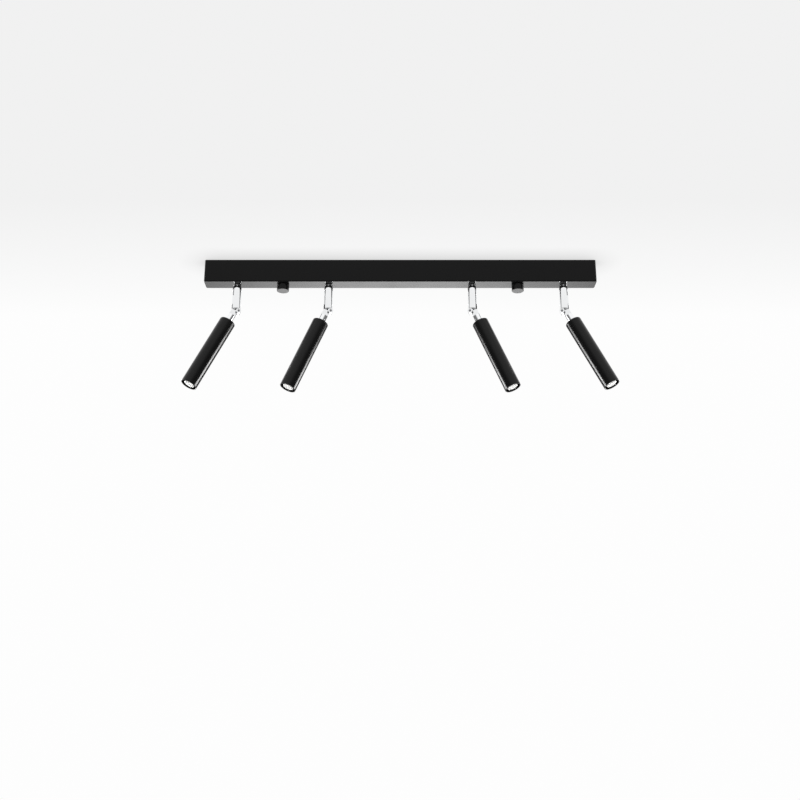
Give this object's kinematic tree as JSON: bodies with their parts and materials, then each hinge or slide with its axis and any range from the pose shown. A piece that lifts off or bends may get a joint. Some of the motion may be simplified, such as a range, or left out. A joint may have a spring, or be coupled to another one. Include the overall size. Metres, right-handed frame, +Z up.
{
  "type": "ceiling light bar",
  "caption": "Straight black ceiling bar with swivelling tube spots, each hung on a chrome stem and a knee joint that turns and folds.",
  "frame": {"origin": "middle of the strip's top face, where it touches the ceiling", "axes": "+X along the bar, -Y towards the front, +Z up into the ceiling"},
  "size_m": [0.6432, 0.047, 0.2148],
  "materials": {
    "black_paint": "satin black powder coat on folded sheet steel",
    "black_tube": "satin black powder coat on drawn steel tube",
    "black_nut": "satin black coat on a turned round nut",
    "chrome": "polished chrome plate on turned brass",
    "pin_steel": "plain steel socket screw",
    "zinc_strip": "galvanised strip with a faint spangle",
    "zinc_fastener": "bright zinc plate",
    "brass": "plain brass",
    "white_nylon": "moulded off-white nylon",
    "lead_sleeve": "glass-silk sleeve over twin leads",
    "earth_sleeve": "green and yellow insulation",
    "holder_ceramic": "unglazed steatite",
    "lamp_diffuser": "opal diffuser, lit evenly from inside"
  },
  "bodies": {
    "root": {"canopy_bar": "black_paint", "ceiling_strip": "zinc_strip", "stud_left": "zinc_fastener", "stud_right": "zinc_fastener", "stud_nut_left": "zinc_fastener", "stud_nut_right": "zinc_fastener", "terminal_block": "white_nylon", "earth_stud": "brass", "earth_nut": "brass", "earth_lead": "earth_sleeve", "friction_washer_1": "zinc_fastener", "lead_1": "lead_sleeve", "friction_washer_2": "zinc_fastener", "lead_2": "lead_sleeve", "friction_washer_3": "zinc_fastener", "lead_3": "lead_sleeve", "friction_washer_4": "zinc_fastener", "lead_4": "lead_sleeve"},
    "round_nut_left_body": {"round_nut_left": "black_nut"},
    "round_nut_right_body": {"round_nut_right": "black_nut"},
    "swivel_1": {"nipple_1": "zinc_fastener", "lock_nut_1": "zinc_fastener", "stem_1": "chrome", "pivot_screw_1": "pin_steel"},
    "spot_1": {"arm_1": "chrome", "tube_1": "black_tube", "tube_nut_1": "zinc_fastener", "hanger_1": "zinc_strip", "lamp_holder_1": "holder_ceramic", "lamp_1": "lamp_diffuser"},
    "swivel_2": {"nipple_2": "zinc_fastener", "lock_nut_2": "zinc_fastener", "stem_2": "chrome", "pivot_screw_2": "pin_steel"},
    "spot_2": {"arm_2": "chrome", "tube_2": "black_tube", "tube_nut_2": "zinc_fastener", "hanger_2": "zinc_strip", "lamp_holder_2": "holder_ceramic", "lamp_2": "lamp_diffuser"},
    "swivel_3": {"nipple_3": "zinc_fastener", "lock_nut_3": "zinc_fastener", "stem_3": "chrome", "pivot_screw_3": "pin_steel"},
    "spot_3": {"arm_3": "chrome", "tube_3": "black_tube", "tube_nut_3": "zinc_fastener", "hanger_3": "zinc_strip", "lamp_holder_3": "holder_ceramic", "lamp_3": "lamp_diffuser"},
    "swivel_4": {"nipple_4": "zinc_fastener", "lock_nut_4": "zinc_fastener", "stem_4": "chrome", "pivot_screw_4": "pin_steel"},
    "spot_4": {"arm_4": "chrome", "tube_4": "black_tube", "tube_nut_4": "zinc_fastener", "hanger_4": "zinc_strip", "lamp_holder_4": "holder_ceramic", "lamp_4": "lamp_diffuser"}
  },
  "joints": [
    {"name": "round_nut_left_turn", "type": "hinge", "parent": "root", "child": "round_nut_left_body", "pos_m": [-0.18, 0, -0.036], "axis": [0, 0, 1], "continuous": true},
    {"name": "round_nut_right_turn", "type": "hinge", "parent": "root", "child": "round_nut_right_body", "pos_m": [0.18, 0, -0.036], "axis": [0, 0, 1], "continuous": true},
    {"name": "turn_1", "type": "hinge", "parent": "root", "child": "swivel_1", "pos_m": [-0.25, 0, -0.036], "axis": [0, 0, 1], "range_deg": [-170, 130]},
    {"name": "fold_1", "type": "hinge", "parent": "swivel_1", "child": "spot_1", "pos_m": [-0.24756, 0.00089, -0.081], "axis": [-0.3404, 0.9403, 0], "range_deg": [-25.9, 64.1]},
    {"name": "turn_2", "type": "hinge", "parent": "root", "child": "swivel_2", "pos_m": [-0.11, 0, -0.036], "axis": [0, 0, 1], "range_deg": [-170, 130]},
    {"name": "fold_2", "type": "hinge", "parent": "swivel_2", "child": "spot_2", "pos_m": [-0.10752, 0.00077, -0.081], "axis": [-0.2974, 0.9548, 0], "range_deg": [-23.2, 66.8]},
    {"name": "turn_3", "type": "hinge", "parent": "root", "child": "swivel_3", "pos_m": [0.11, 0, -0.036], "axis": [0, 0, 1], "range_deg": [-130, 170]},
    {"name": "fold_3", "type": "hinge", "parent": "swivel_3", "child": "spot_3", "pos_m": [0.10752, 0.00077, -0.081], "axis": [-0.2974, -0.9548, 0], "range_deg": [-23.2, 66.8]},
    {"name": "turn_4", "type": "hinge", "parent": "root", "child": "swivel_4", "pos_m": [0.25, 0, -0.036], "axis": [0, 0, 1], "range_deg": [-130, 170]},
    {"name": "fold_4", "type": "hinge", "parent": "swivel_4", "child": "spot_4", "pos_m": [0.24756, 0.00089, -0.081], "axis": [-0.3404, -0.9403, 0], "range_deg": [-25.9, 64.1]}
  ]
}
